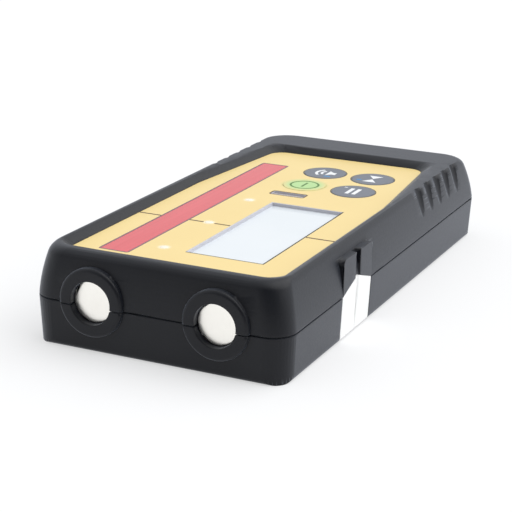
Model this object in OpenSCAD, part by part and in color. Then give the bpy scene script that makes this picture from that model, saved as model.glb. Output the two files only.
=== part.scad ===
// Laser receiver: two-shell case, detector strip, display, four keys, end magnets, battery bay.
// Millimetres. Display face up (+Z), magnet end towards -Y, back on z = 0.

/* [Case] */
// Width of the case beyond the front sheet, on each side
rim_w = 7.1; // [6.6:0.1:8.6]
// Distance from the magnet end to the display
lcd_in = 20.3; // [19:0.1:24]
// Distance from the keys to the keypad end
key_out = 37; // [35:0.5:44]
// Height of the seam between the shells
seam_z = 13.2; // [12.8:0.1:13.8]
// Room between the battery bay and the main board
board_gap = 0.3; // [0.3:0.1:1.5]
// Height of the rims over the front sheet
rim_h = 1.9; // [1.6:0.1:2.4]
// Radius of the upright corners at the magnet end
near_r = 7; // [6:0.5:8]
// Radius of the upright corners at the keypad end
far_r = 8.5; // [7.5:0.5:9]
// Inward lean of the long sides over the seam, per mm of height
side_lean = 0.094; // [0.074:0.005:0.109]
// Inward lean of the magnet end over the seam, per mm of height
front_lean = 0.018; // [0.008:0.002:0.028]
// Inward lean of the keypad end over the seam, per mm of height
back_lean = 0.158; // [0.128:0.005:0.168]
// Inward draft of the lower shell at the back
draft = 0.58; // [0.3:0.02:0.8]
// Thickness of the side walls at the seam
wall = 4.2; // [4.1:0.1:4.8]

/* [Front face] */
// Width of the detector window
det_w = 8.4; // [7:0.1:10]
// Length of the detector window
det_l = 105.4; // [95:0.2:112]
// Distance from the sheet's edge to the detector window
det_side = 7.6; // [7:0.1:9]
// Width of the display opening
lcd_w = 23.4; // [20:0.2:28]
// Length of the display opening
lcd_l = 56.4; // [48:0.2:66]
// Distance from the detector window to the display
lcd_left = 13.6; // [13:0.1:16]
// Distance from the display to the sheet's edge
lcd_side = 8.8; // [8:0.1:10]
// Depth of the display glass under the front sheet
lcd_sink = 1; // [0.8:0.1:1.1]

/* [Keys] */
// Radius of a key
key_r = 6.8; // [6:0.1:8]
// Space between the keys across the case
key_space_x = 2.8; // [2.4:0.1:4]
// Space between the keys along the case
key_space_y = 3.2; // [2.4:0.1:5]
// Travel of a key
key_travel = 0.55; // [0.3:0.05:0.55]

/* [Index marks] */
// Width of the white index marks along the case
mark_w = 21.2; // [18:0.2:23]
// Rise of the index mark's point over the seam
mark_rise = 3.5; // [2.5:0.1:4]

/* [Magnets] */
// Radius of the magnet bosses
boss_r = 9.6; // [8.6:0.1:9.8]
// Radius of the end magnets
magnet_r = 6; // [5:0.1:6.2]
// Distance between the magnets' axes
magnet_pitch = 36.8; // [35:0.2:38]

/* [Fixings] */
// Core radius of the threaded insert for a rod clamp
insert_bore_r = 2.55; // [2.1:0.05:3]

/* [Hidden] */
$fn = 48;

// Battery bay for two AA cells side by side
cell_r = 7.2;
cell_l = 49.5;
nub_r = 2.7;
nub_l = 1;
cell_gap = 0.5;
cell_lift = 0.45;
door_low = 0.3;
door_t = 2;
cell_x = cell_r + cell_gap;
cell_z = door_low + door_t + cell_lift + cell_r;
bay_side = 1.1;
bay_x = cell_x + cell_r + bay_side;
bay_wall = 2.6;
bay_head = 0.25;
bay_roof = cell_z + cell_r + bay_head;
bay_roof_t = 1;

// Levels under the front sheet, which lies as high as the cells and the board under it need
sheet_t = 0.5;
skin_t = 2;
under_skin = 2.5;
board_t = 1.6;
board_z = bay_roof + bay_roof_t + board_gap;
board_top = board_z + board_t;
skin_z = board_top + under_skin;
skin_top = skin_z + skin_t;
face_z = skin_top + sheet_t;
top_z = face_z + rim_h;

// Plan of the case: it is as wide and as long as what its face holds
taper_w = 4.5;
sheet_w = det_side + det_w + lcd_left + lcd_w + lcd_side;
sheet_far_w = sheet_w - 2 * taper_w;
case_w = sheet_w + 2 * rim_w;
slot_gap = 5.6;
lcd_gap = 10.3;
key_pitch_x = 2 * key_r + key_space_x;
key_pitch_y = 2 * key_r + key_space_y;
case_l = lcd_in + lcd_l + lcd_gap + slot_gap + 2 * key_r + key_pitch_y + key_out;
// The bosses stand out at the magnet end, so the case sits half of that off centre
boss_proud = 1.2;
hw = case_w / 2;
y_front = (boss_proud - case_l) / 2;
y_back = (boss_proud + case_l) / 2;
y_mid = (y_front + y_back) / 2;
index_y = y_front + lcd_in + lcd_l / 2;
slot_y = index_y + lcd_l / 2 + lcd_gap;
key_y = slot_y + slot_gap + key_r;
seam_gap = 0.3;
low_top = seam_z - seam_gap / 2;
up_low = seam_z + seam_gap / 2;
lower_lean = -draft / seam_z;
inner_x = hw - wall;
magnet_sink = 2.2;
magnet_l = 7;
bulkhead_t = 5.2;
end_extra = 0.3;
cave_front = y_front - boss_proud + magnet_sink + magnet_l + bulkhead_t;
cave_back = y_back - wall - end_extra;
cave_r = 6;
floor_t = 2.6;
over = 1;

// Bow of the upper walls, and how far their rounded top edges draw in over the edge height
side_bow = 62;
front_bow = 57.6;
back_bow = 35;
side_edge = 0.7;
front_edge = 3;
back_edge = 2.9;
edge_h = 2.1;
wall_steps = 8;
edge_steps = 6;
corner_steps = 10;
foot_edge_r = 1.5;
blend = 0.02;

// Front sheet outline and the well it lies in
lip_h = 0.12;
lip_z = face_z + lip_h;
sheet_in = 6.9;
sheet_out = 24.8;
taper_in = 1;
sheet_near = y_front + sheet_in;
sheet_far = y_back - sheet_out;
taper_y = slot_y - taper_in;
sheet_r = 5;
taper_r = 20;
rim_flat = 1.1;
well_spread = side_x(top_z) - rim_flat - sheet_w / 2;
well_spread_far = 3;
well_spread_near = 0.8;

// Windows and lights
det_in = 12.9;
det_x = det_side + det_w / 2 - sheet_w / 2;
det_near = y_front + det_in;
det_mid = det_near + det_l / 2;
fit_gap = 0.1;
flange = 1;
lcd_edge = sheet_w / 2 - lcd_side;
lcd_x = lcd_edge - lcd_w / 2;
glass_t = 1.2;
glass_rim = 1.4;
lcd_top = face_z - lcd_sink;
pipe_side = 6.6;
pipe_in = 1.2;
pipe_x = det_x + det_w / 2 + pipe_side;
pipe_r = 1.2;
pipe_foot_r = 1.8;
pipe_pitch = lcd_l / 2 - pipe_in;
key_side = 0.6;
key_x = lcd_edge + key_side - key_r - key_pitch_x;
slot_x = key_x;
slot_l = 11;
slot_w = 3.6;
slot_r = 0.6;
mesh_t = 0.3;
mesh_rim = 1;

// Keys
key_gap = 0.1;
key_proud = 0.1;
key_flange = 0.8;
key_seat = 0.05;
key_flange_t = 0.9;
key_spare = 0.3;
key_low = skin_z - key_seat - key_flange_t;
switch_h = key_low - key_travel - key_spare - board_top;
switch_w = 4.5;

// Index marks and the raised pads over them
mark_t = 1.9;
mark_foot = 0.4;
mark_groove = 1.1;
pad_h = 10.7;
pad_top = seam_z + pad_h;
pad_notch = 3.2;
pad_root = 4;
pad_r = 1.4;
pad_notch_r = 0.5;

// Grip grooves at the keypad end
grip_count = 5;
grip_pitch = 8.4;
grip_r = 3.6;
grip_depth = 0.2;
grip_rise = 6.8;
grip_out = 55.2;
grip_low = seam_z + grip_rise;
grip_y = y_back - grip_out;

// End magnets
magnet_rise = 1.1;
magnet_z = seam_z + magnet_rise;
boss_root = 6;
boss_edge_r = 1;

// Seal cord in the seam
seal_w = 1;
seal_h = 1.6;
seal_out = 1.7;
seal_in = 2.3;
seal_x = inner_x + seal_out;
seal_near = cave_front - seal_in;
seal_far = cave_back + seal_out;
seal_r = 5;

// Battery contacts, the length of the bay and its door
contact_t = 0.4;
contact_w = 10;
contact_h = 11;
leaf_rise = 3.2;
leaf_half = 4.6;
leaf_r = (leaf_half * leaf_half + leaf_rise * leaf_rise) / (2 * leaf_rise);
leaf_t = 0.4;
leaf_w = 8;
lip_t = 3.6;
lip_top = 9;
door_gap = 0.4;
bay_end = 4.1;
bay_l = cell_l + nub_l + leaf_rise + 2 * contact_t;
bay_near = y_back - lip_t - 2 * door_gap - bay_end - bay_l;
cell_start = bay_near + contact_t + leaf_rise;
cell_end = bay_near + bay_l - contact_t - leaf_rise;
door_side = 1.3;
door_over = 3.4;
door_x = bay_x + door_side;
door_near = bay_near - door_over;
tongue_x = 1.5;
tongue_low = 1;
tongue_t = 0.8;
tongue_gap = 0.3;
thumb_count = 4;
thumb_pitch = 3;
thumb_r = 0.6;

// Threaded insert for the rod clamp, at the zero line
insert_r = 5;
insert_l = 9;
insert_bore_l = 8;
insert_low = 0.2;
insert_wall = 2.5;
insert_post_r = insert_r + insert_wall;

// Case screws, driven from the back
screw_side = 3;
screw_in = 18;
screw_off = 4;
screw_out = 12;
screw_x = inner_x - screw_side;
screw_ys = [y_front + screw_in, y_mid + screw_off, y_back - screw_out];
screw_r = 1.5;
screw_head_r = 2.6;
screw_head_low = 1.2;
screw_seat = 3.4;
screw_reach = 7;
screw_gap = 0.2;
sink_gap = 0.3;
sink_wall = 1.3;
post_wall = 1.9;
screw_hole_r = screw_r + screw_gap;
screw_sink_r = screw_head_r + sink_gap;
front_post_r = screw_r + post_wall;
rear_post_r = screw_sink_r + sink_wall;
key_recess_r = 1.2;
key_recess_l = 1.4;

// Circuit boards and what they carry
main_left = 2.7;
main_right = 3.4;
main_out = 3.2;
board_end = 0.5;
main_x0 = pipe_x - main_left;
main_x1 = lcd_edge + main_right;
main_near = cave_front + board_end;
main_far = key_y + key_pitch_y + key_r + main_out;
det_board_w = 12;
det_board_out = 7.4;
det_board_near = cave_front + board_end;
det_board_far = det_near + det_l + det_board_out;
fix_in = 2.1;
fix_end = 1.9;
fix_off = 0.4;
fix_back = 1;
fix_clear = 4.9;
main_fix = [[lcd_edge - fix_in, main_near + fix_end], [lcd_edge + fix_off, slot_y - fix_back],
    [pipe_x, index_y - pipe_pitch / 2], [pipe_x, slot_y - fix_clear]];
det_fix_in = 3;
det_fix_out = 2.8;
det_fix = [det_board_near + det_fix_in, det_board_far - det_fix_out];
fix_r = 0.9;
fix_wall = 0.9;
fix_rear_wall = 1.7;
fix_post_r = fix_r + fix_wall;
fix_rear_r = fix_r + fix_rear_wall;
fix_head_r = 1.8;
fix_head_h = 1.1;
fix_reach = 2.2;
fix_deep = 4;
diode_count = 10;
diode_w = 6;
diode_l = 5;
diode_h = 1.2;
diode_in = 7;
diode_pitch = (det_fix[1] - det_fix[0] - 2 * diode_in) / (diode_count - 1);
led_w = 2;
led_h = 1.1;
led_gap = 0.3;
pipe_low = board_top + led_h + led_gap;
sounder_r = 4.5;
sounder_h = 2;
chip_h = 1.2;
// Each chip: width, length, and its place from the display's middle
chips = [[10, 10, -6, -12], [5, 7, 6, 10], [5, 4, -6, 16]];
link_out = 1.9;
link_x = main_x0 - link_out;
link_w = 5;
link_l = 12;
link_h = 2;
module_rim = 1;

// Rear label
label_w = 44;
label_l = 16;
label_t = 0.3;
label_low = 0.1;
label_in = 21;
label_y = y_front + label_in;

function unit(v) = v / norm(v);
// Points of one rounded polygon corner at b between a and c; a radius of 0 keeps the corner
function corner_points(a, b, c, r, n) = r == 0 ? [b] :
    let (u = unit(a - b), w = unit(c - b), half = acos(u * w) / 2)
    let (m = b + unit(u + w) * r / sin(half), p = b + u * r / tan(half) - m, q = b + w * r / tan(half) - m)
    let (s = atan2(p[1], p[0]), raw = atan2(q[1], q[0]) - s)
    let (sweep = raw > 180 ? raw - 360 : raw < -180 ? raw + 360 : raw)
    [for (i = [0 : n]) m + r * [cos(s + sweep * i / n), sin(s + sweep * i / n)]];
function rounded(pts, radii, n = 8) = let (k = len(pts))
    [for (i = [0 : k - 1]) each corner_points(pts[(i + k - 1) % k], pts[i], pts[(i + 1) % k], radii[i], n)];
// How far an upper wall stands in at height z: its lean, its bow of radius r and its rounded top edge
function inset(z, lean, r, edge) =
    let (h = z - seam_z, he = top_z - edge_h - seam_z, q = min(h, he), u = max(0, (h - he) / edge_h))
    lean * h + r - sqrt(r * r - q * q) + (h - q) * he / sqrt(r * r - he * he)
    + edge * (1 - sqrt(max(0, 1 - u * u)));
function side_x(z) = hw - inset(z, side_lean, side_bow, side_edge);
function front_y(z) = y_front + inset(z, front_lean, front_bow, front_edge);
function back_y(z) = y_back - inset(z, back_lean, back_bow, back_edge);
// Plan of the upper shell at height z
function shell_points(z) = rounded([[-side_x(z), front_y(z)], [side_x(z), front_y(z)], [side_x(z), back_y(z)],
    [-side_x(z), back_y(z)]], [near_r, near_r, far_r, far_r], corner_steps);
// Outline of the front sheet
function sheet_points() = let (a = sheet_w / 2, b = sheet_far_w / 2)
    rounded([[-a, sheet_near], [a, sheet_near], [a, taper_y], [b, sheet_far], [-b, sheet_far], [-a, taper_y]],
        [sheet_r, sheet_r, taper_r, sheet_r, sheet_r, taper_r], 6);
// Plan of the open well over the sheet, grown by g times its spread
function well_points(g) =
    let (a = sheet_w / 2 + g * well_spread, b = sheet_far_w / 2 + g * well_spread)
    let (near = sheet_near - g * well_spread_near, far = sheet_far + g * well_spread_far)
    rounded([[-a, near], [a, near], [a, taper_y], [b, far], [-b, far], [-a, taper_y]],
        [sheet_r, sheet_r, taper_r, sheet_r, sheet_r, taper_r], 6);

// Extrudes an XZ profile along Y over the case, and a YZ profile along X
module along_y() {
    translate([0, y_mid, 0]) rotate([90, 0, 0]) linear_extrude(case_l + 4, center = true) children();
}
module along_x(w) {
    rotate([90, 0, 90]) linear_extrude(w, center = true) children();
}
module plate(w, l, h, x, y, z) {
    translate([x - w / 2, y - l / 2, z]) cube([w, l, h]);
}
module disc(r, h, x, y, z) {
    translate([x, y, z]) cylinder(r = r, h = h);
}

// Solid through plan rings that all have the same number of points, one at each height
module stack(rings, heights) {
    n = len(rings[0]);
    last = len(rings) - 1;
    polyhedron(points = [for (j = [0 : last]) each [for (p = rings[j]) [p[0], p[1], heights[j]]]],
        faces = concat([[for (i = [0 : n - 1]) i], [for (i = [0 : n - 1]) last * n + n - 1 - i]],
            [for (j = [0 : last - 1]) for (i = [0 : n - 1])
                [j * n + i, j * n + n + i, j * n + n + (i + 1) % n]],
            [for (j = [0 : last - 1]) for (i = [0 : n - 1])
                [j * n + i, j * n + n + (i + 1) % n, j * n + (i + 1) % n]]));
}
// What a round corner of the lower shell leaves to cut between its two drafted walls
module corner_cut(sx, sy, y, r) {
    d = [-sx * lower_lean, -sy * lower_lean, 1];
    reach = 2 * r;
    low = -seam_z - 2 * over;
    centre = r * sqrt(1 + lower_lean * lower_lean);
    translate([sx * (hw - centre), y - sy * centre, seam_z])
        rotate(a = acos(1 / norm(d)), v = [-d[1], d[0], 0]) translate([0, 0, low]) difference() {
            translate([sx > 0 ? 0 : -reach, sy > 0 ? 0 : -reach, 0]) cube([reach, reach, 2 * over - low]);
            translate([0, 0, -over]) cylinder(r = r + blend, h = 4 * over - low);
        }
}
module upper_outer() {
    edge_low = top_z - edge_h;
    heights = concat([for (i = [0 : wall_steps]) up_low + (edge_low - up_low) * i / wall_steps],
        [for (i = [1 : edge_steps]) edge_low + edge_h * sin(90 * i / edge_steps)]);
    stack([for (z = heights) shell_points(z)], heights);
}
module lower_outer(top = low_top) {
    bx = hw - draft;
    kt = draft * (seam_z - top) / seam_z;
    difference() {
        intersection() {
            along_y() polygon(rounded([[-bx, 0], [bx, 0], [hw - kt, top], [kt - hw, top]],
                [foot_edge_r, foot_edge_r, 0, 0], 4));
            along_x(case_w + 2) polygon(rounded([[y_front + draft, 0], [y_back - draft, 0],
                [y_back - kt, top], [y_front + kt, top]], [foot_edge_r, foot_edge_r, 0, 0], 4));
        }
        for (sx = [-1, 1]) {
            corner_cut(sx, -1, y_front, near_r);
            corner_cut(sx, 1, y_back, far_r);
        }
    }
}
// Hollow between the shells, from one height to another
module cave(low, high) {
    translate([0, 0, low]) linear_extrude(high - low)
        polygon(rounded([[-inner_x, cave_front], [inner_x, cave_front], [inner_x, cave_back],
            [-inner_x, cave_back]], [0, 0, cave_r, cave_r]));
}

// Open well over the front sheet, inside the rims
module well() {
    stack([well_points(0), well_points((rim_h + over) / rim_h)], [lip_z, top_z + over]);
}
module grips() {
    rise = top_z - grip_low;
    tilt = atan((side_x(grip_low) - side_x(top_z) + grip_depth) / rise);
    for (sx = [-1, 1]) for (i = [0 : grip_count - 1])
        translate([sx * (side_x(grip_low) + grip_r), grip_y + i * grip_pitch, grip_low])
            rotate([0, -sx * tilt, 0]) translate([0, 0, -over]) cylinder(r = grip_r, h = 2 * rise);
}
module bosses() {
    for (sx = [-1, 1])
        translate([sx * magnet_pitch / 2, y_front - boss_proud, magnet_z])
            rotate([-90, 0, 0]) rotate_extrude() polygon(rounded([[0, 0], [boss_r, 0],
                [boss_r, boss_proud + boss_root], [0, boss_proud + boss_root]], [0, boss_edge_r, 0, 0], 4));
}
module magnet(sx) {
    translate([sx * magnet_pitch / 2, y_front - boss_proud + magnet_sink, magnet_z])
        rotate([-90, 0, 0]) cylinder(r = magnet_r, h = magnet_l);
}
module magnet_bores() {
    for (sx = [-1, 1])
        translate([sx * magnet_pitch / 2, y_front - boss_proud - over, magnet_z])
            rotate([-90, 0, 0]) cylinder(r = magnet_r, h = over + magnet_sink + magnet_l);
}
// Two raised upright pads on each leaning side, with the zero notch between them
module pads() {
    gap = pad_notch / 2;
    for (sx = [-1, 1]) for (s = [-1, 1])
        translate([sx * (hw - pad_root / 2), index_y, 0]) along_x(pad_root)
            polygon(rounded([[s * gap, up_low], [s * mark_w / 2, up_low], [s * mark_w / 2, pad_top],
                [s * gap, pad_top]], [0, 0, pad_r, pad_notch_r], 5));
}
module mark_plate(sx, thick) {
    translate([sx * (hw - mark_t + thick / 2), 0, 0]) along_x(thick)
        polygon([[index_y - mark_w / 2, mark_foot], [index_y + mark_w / 2, mark_foot],
            [index_y + mark_w / 2, seam_z], [index_y, seam_z + mark_rise], [index_y - mark_w / 2, seam_z]]);
}
module index_mark(sx) {
    difference() {
        intersection() {
            mark_plate(sx, mark_t);
            union() {
                lower_outer(seam_z);
                translate([-hw, y_front, seam_z]) cube([case_w, case_l, 2 * mark_rise]);
            }
        }
        translate([sx * hw, index_y, 2 * mark_foot]) rotate([0, 0, 45])
            translate([-mark_groove / 2, -mark_groove / 2, 0]) cube([mark_groove, mark_groove, 2 * seam_z]);
    }
}
module seal_ring() {
    translate([0, 0, seam_z - seal_h / 2]) linear_extrude(seal_h) difference() {
        polygon(rounded([[seal_x, seal_near], [seal_x, seal_far], [-seal_x, seal_far], [-seal_x, seal_near]],
            [seal_r, seal_r, seal_r, seal_r]));
        polygon(rounded([[seal_x - seal_w, seal_near + seal_w], [seal_x - seal_w, seal_far - seal_w],
            [seal_w - seal_x, seal_far - seal_w], [seal_w - seal_x, seal_near + seal_w]],
            [seal_r - seal_w, seal_r - seal_w, seal_r - seal_w, seal_r - seal_w]));
    }
}
module key_places() {
    for (i = [0, 1]) for (j = [0, 1])
        translate([key_x + i * key_pitch_x, key_y + j * key_pitch_y, 0]) children();
}
module pipe_places() {
    for (i = [-1 : 1]) translate([pipe_x, index_y + i * pipe_pitch, 0]) children();
}
module case_screw_places() {
    for (sx = [-1, 1]) for (y = screw_ys) translate([sx * screw_x, y, 0]) children();
}
module slot_prism(h) {
    plate(slot_l - 2 * slot_r, slot_w, h, slot_x, slot_y, 0);
    plate(slot_l, slot_w - 2 * slot_r, h, slot_x, slot_y, 0);
    for (i = [-1, 1]) for (j = [-1, 1])
        disc(slot_r, h, slot_x + i * (slot_l / 2 - slot_r), slot_y + j * (slot_w / 2 - slot_r), 0);
}

module front_case() color("#26282b") difference() {
    union() {
        difference() {
            union() {
                difference() {
                    upper_outer();
                    well();
                    grips();
                }
                intersection() {
                    bosses();
                    translate([-hw, y_front - 2 * boss_proud, up_low]) cube([case_w, 4 * boss_r, 2 * boss_r]);
                }
                pads();
            }
            cave(seam_z - over, skin_z);
        }
        case_screw_places() disc(front_post_r, skin_z + over - up_low, 0, 0, up_low);
        for (p = main_fix) disc(fix_post_r, skin_z + over - board_top, p[0], p[1], board_top);
    }
    translate([0, 0, skin_top]) linear_extrude(lip_h + sheet_t + over) polygon(sheet_points());
    plate(det_w + 2 * fit_gap, det_l + 2 * fit_gap, 2 * skin_t, det_x, det_mid, skin_z);
    plate(det_w + 2 * flange, det_l + 2 * flange, over + glass_t, det_x, det_mid, skin_z - over);
    plate(lcd_w, lcd_l, 2 * skin_t, lcd_x, index_y, skin_z);
    plate(lcd_w + 2 * glass_rim, lcd_l + 2 * glass_rim, lcd_top - skin_z + over, lcd_x, index_y,
        skin_z - over);
    pipe_places() disc(pipe_r, 2 * skin_t, 0, 0, skin_z - over);
    key_places() disc(key_r + key_gap, 2 * skin_t, 0, 0, skin_z - over);
    translate([0, 0, skin_z - over]) slot_prism(2 * skin_t);
    plate(slot_l + 2 * mesh_rim + 2 * fit_gap, slot_w + 2 * mesh_rim + 2 * fit_gap, mesh_t + over, slot_x, slot_y,
        skin_top - mesh_t);
    case_screw_places() disc(screw_r, screw_reach, 0, 0, seam_z);
    for (p = main_fix) disc(fix_r, fix_reach, p[0], p[1], board_top);
    magnet_bores();
    for (sx = [-1, 1]) mark_plate(sx, 2 * mark_t);
    seal_ring();
}

module rear_case() color("#2a2c2f") difference() {
    union() {
        difference() {
            lower_outer();
            cave(floor_t, seam_z + over);
        }
        intersection() {
            bosses();
            translate([-hw, y_front - 2 * boss_proud, 0]) cube([case_w, 4 * boss_r, low_top]);
        }
        case_screw_places() disc(rear_post_r, low_top, 0, 0, 0);
        disc(insert_post_r, insert_low + insert_l + floor_t, 0, index_y, 0);
        for (y = det_fix) disc(fix_rear_r, board_z - floor_t + over, det_x, y, floor_t - over);
        translate([-bay_x - bay_wall, bay_near - bay_wall, floor_t - over])
            cube([2 * (bay_x + bay_wall), cave_back - bay_near + bay_wall + over, low_top - floor_t + over]);
        translate([-bay_x - bay_wall, bay_near - bay_wall, floor_t])
            cube([2 * (bay_x + bay_wall), bay_l + 2 * bay_wall, bay_roof + bay_roof_t - floor_t]);
    }
    plate(2 * bay_x, bay_l, bay_roof, 0, bay_near + bay_l / 2, 0);
    door_way();
    case_screw_places() {
        disc(screw_hole_r, seam_z, 0, 0, 0);
        disc(screw_sink_r, screw_seat + over, 0, 0, -over);
    }
    disc(insert_r, insert_low + insert_l + over, 0, index_y, -over);
    for (y = det_fix) disc(fix_r, fix_deep, det_x, y, board_z - fix_deep);
    plate(label_w, label_l, label_low + label_t + over, 0, label_y, -over);
    magnet_bores();
    for (sx = [-1, 1]) mark_plate(sx, 2 * mark_t);
    seal_ring();
}
// Slot in the back and in the keypad end through which the battery door slides out
module door_way() {
    w = door_x + door_gap;
    translate([-w, door_near - door_gap, -over]) cube([2 * w, case_l, over + floor_t]);
    translate([-w - tongue_x, door_near - door_gap, tongue_low - tongue_gap])
        cube([2 * (w + tongue_x), case_l, tongue_t + 2 * tongue_gap]);
    translate([-w, y_back - lip_t - 2 * door_gap, -over])
        cube([2 * w, 2 * lip_t, over + lip_top + door_gap]);
}
module battery_door() color("#2e3033") difference() {
    intersection() {
        lower_outer();
        union() {
            translate([-door_x, door_near, door_low]) cube([2 * door_x, case_l, door_t]);
            translate([-door_x - tongue_x, door_near, tongue_low])
                cube([2 * (door_x + tongue_x), case_l / 2 - wall - door_near, tongue_t]);
            translate([-door_x, y_back - lip_t, door_low]) cube([2 * door_x, lip_t, lip_top - door_low]);
        }
    }
    for (i = [1 : thumb_count])
        translate([-door_x / 2, y_back - lip_t - i * thumb_pitch, door_low])
            rotate([0, 90, 0]) cylinder(r = thumb_r, h = door_x);
}

module case_seal() color("#101112") seal_ring();
module front_sheet() color("#f2c230") difference() {
    translate([0, 0, skin_top]) linear_extrude(sheet_t) polygon(sheet_points());
    plate(det_w + 2 * fit_gap, det_l + 2 * fit_gap, 2 * skin_t, det_x, det_mid, skin_z);
    plate(lcd_w, lcd_l, 2 * skin_t, lcd_x, index_y, skin_z);
    pipe_places() disc(pipe_r, 2 * skin_t, 0, 0, skin_z);
    key_places() disc(key_r + key_gap, 2 * skin_t, 0, 0, skin_z);
    translate([0, 0, skin_z]) slot_prism(2 * skin_t);
}
module detector_window() color("#c01828") {
    plate(det_w, det_l, face_z - skin_z, det_x, det_mid, skin_z);
    plate(det_w + 2 * flange, det_l + 2 * flange, glass_t, det_x, det_mid, skin_z);
}
module display_window() color("#e8eef2")
    plate(lcd_w + 2 * glass_rim, lcd_l + 2 * glass_rim, glass_t, lcd_x, index_y, lcd_top - glass_t);
module display_module() color("#b8c2c8")
    plate(lcd_w + 2 * module_rim, lcd_l + 2 * module_rim, lcd_top - glass_t - board_top, lcd_x, index_y,
        board_top);
module light_pipes() color("#fbfbf6") pipe_places() {
    disc(pipe_r, face_z - pipe_low, 0, 0, pipe_low);
    disc(pipe_foot_r, skin_z - pipe_low, 0, 0, pipe_low);
}
module sounder_mesh() color("#b0b4b8")
    plate(slot_l + 2 * mesh_rim, slot_w + 2 * mesh_rim, mesh_t, slot_x, slot_y, skin_top - mesh_t);
module key_cap() {
    disc(key_r, face_z + key_proud - key_low, 0, 0, key_low);
    disc(key_r + key_flange, key_flange_t, 0, 0, key_low);
}
module power_key() color("#e9d54c") translate([key_x, key_y, 0]) key_cap();
module hold_key() color("#5a5d61") translate([key_x + key_pitch_x, key_y, 0]) key_cap();
module sound_key() color("#5a5d61") translate([key_x, key_y + key_pitch_y, 0]) key_cap();
module precision_key() color("#5a5d61") translate([key_x + key_pitch_x, key_y + key_pitch_y, 0]) key_cap();
module index_mark_left() color("#f6f6f4") index_mark(-1);
module index_mark_right() color("#f6f6f4") index_mark(1);
module magnet_left() color("#d9d9d6") magnet(-1);
module magnet_right() color("#d9d9d6") magnet(1);

module main_board() color("#1f6b3a") difference() {
    translate([main_x0, main_near, board_z]) cube([main_x1 - main_x0, main_far - main_near, board_t]);
    for (p = main_fix) disc(fix_r, 2 * board_t, p[0], p[1], board_z - board_t / 2);
}
module detector_board() color("#1f6b3a") difference() {
    translate([det_x - det_board_w / 2, det_board_near, board_z])
        cube([det_board_w, det_board_far - det_board_near, board_t]);
    for (y = det_fix) disc(fix_r, 2 * board_t, det_x, y, board_z - board_t / 2);
}
module photodiodes() color("#20232c") for (i = [0 : diode_count - 1])
    plate(diode_w, diode_l, diode_h, det_x, det_fix[0] + diode_in + i * diode_pitch, board_top);
module signal_leds() color("#f0efe6") pipe_places() plate(led_w, led_w, led_h, 0, 0, board_top);
module key_switches() color("#9a9ca0") key_places() plate(switch_w, switch_w, switch_h, 0, 0, board_top);
module sounder() color("#17181a") disc(sounder_r, sounder_h, slot_x, slot_y, board_top);
module board_chips() color("#18191b") for (c = chips)
    plate(c[0], c[1], chip_h, lcd_x + c[2], index_y + c[3], board_z - chip_h);
module board_link() color("#141516")
    plate(link_w, link_l, link_h, link_x, index_y + pipe_pitch / 2, board_top);
module board_screws() color("#c6c8ca") {
    for (p = main_fix) {
        disc(fix_r, board_t + fix_reach, p[0], p[1], board_z);
        disc(fix_head_r, fix_head_h, p[0], p[1], board_z - fix_head_h);
    }
    for (y = det_fix) {
        disc(fix_r, board_t + fix_deep, det_x, y, board_z - fix_deep);
        disc(fix_head_r, fix_head_h, det_x, y, board_top);
    }
}

// A cell with its plus end towards +Y, standing on its minus end at y = 0
module cell() {
    rotate([-90, 0, 0]) {
        cylinder(r = cell_r, h = cell_l);
        cylinder(r = nub_r, h = cell_l + nub_l);
    }
}
module battery_cell_left() color("#b08a3a") translate([-cell_x, cell_start, cell_z]) cell();
module battery_cell_right() color("#b08a3a") translate([cell_x, cell_end, cell_z]) mirror([0, 1, 0]) cell();
module battery_contacts() color("#d0d2d4") for (sx = [-1, 1]) {
    plate(contact_w, contact_t, contact_h, sx * cell_x, bay_near + contact_t / 2, cell_z - contact_h / 2);
    plate(contact_w, contact_t, contact_h, sx * cell_x, bay_near + bay_l - contact_t / 2,
        cell_z - contact_h / 2);
}
// A bowed leaf that stands leaf_rise off the plate at y = 0
module leaf() {
    translate([-leaf_w / 2, leaf_rise - leaf_r, 0]) intersection() {
        rotate([0, 90, 0]) difference() {
            cylinder(r = leaf_r, h = leaf_w);
            translate([0, 0, -over]) cylinder(r = leaf_r - leaf_t, h = leaf_w + 2 * over);
        }
        translate([0, leaf_r - leaf_rise, -leaf_half]) cube([leaf_w, leaf_rise, 2 * leaf_half]);
    }
}
module contact_leaves() color("#c9a24a") {
    translate([-cell_x, bay_near + contact_t, cell_z]) leaf();
    translate([cell_x, bay_near + bay_l - contact_t, cell_z]) mirror([0, 1, 0]) leaf();
}
module clamp_insert() color("#c79a3e") difference() {
    disc(insert_r, insert_l, 0, index_y, insert_low);
    disc(insert_bore_r, insert_bore_l + over, 0, index_y, insert_low - over);
}
module case_screws() color("#8f9296") case_screw_places() difference() {
    union() {
        disc(screw_head_r, screw_seat - screw_head_low, 0, 0, screw_head_low);
        disc(screw_r, seam_z + screw_reach - screw_seat, 0, 0, screw_seat);
    }
    translate([0, 0, screw_head_low - over]) cylinder(r = key_recess_r, h = key_recess_l + over, $fn = 6);
}
module rear_label() color("#d8dadb") plate(label_w, label_l, label_t, 0, label_y, label_low);

front_case();
rear_case();
case_seal();
front_sheet();
detector_window();
display_window();
display_module();
light_pipes();
sounder_mesh();
power_key();
sound_key();
precision_key();
hold_key();
index_mark_left();
index_mark_right();
magnet_left();
magnet_right();
main_board();
detector_board();
photodiodes();
signal_leds();
key_switches();
sounder();
board_chips();
board_link();
board_screws();
battery_cell_left();
battery_cell_right();
battery_contacts();
contact_leaves();
battery_door();
clamp_insert();
case_screws();
rear_label();
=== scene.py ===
# %% [markdown]
# # A laser receiver on a white table
# The receiver is a flat handheld box that beeps when the beam of a rotating laser crosses its red strip.
# Every solid was settled in the construction model, in metres. Here that frame is loaded and then dressed
# with softened edges, prints, small trim and materials.

# %% Load the frame
import math

import bmesh
import bpy
from mathutils import Matrix, Vector


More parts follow.
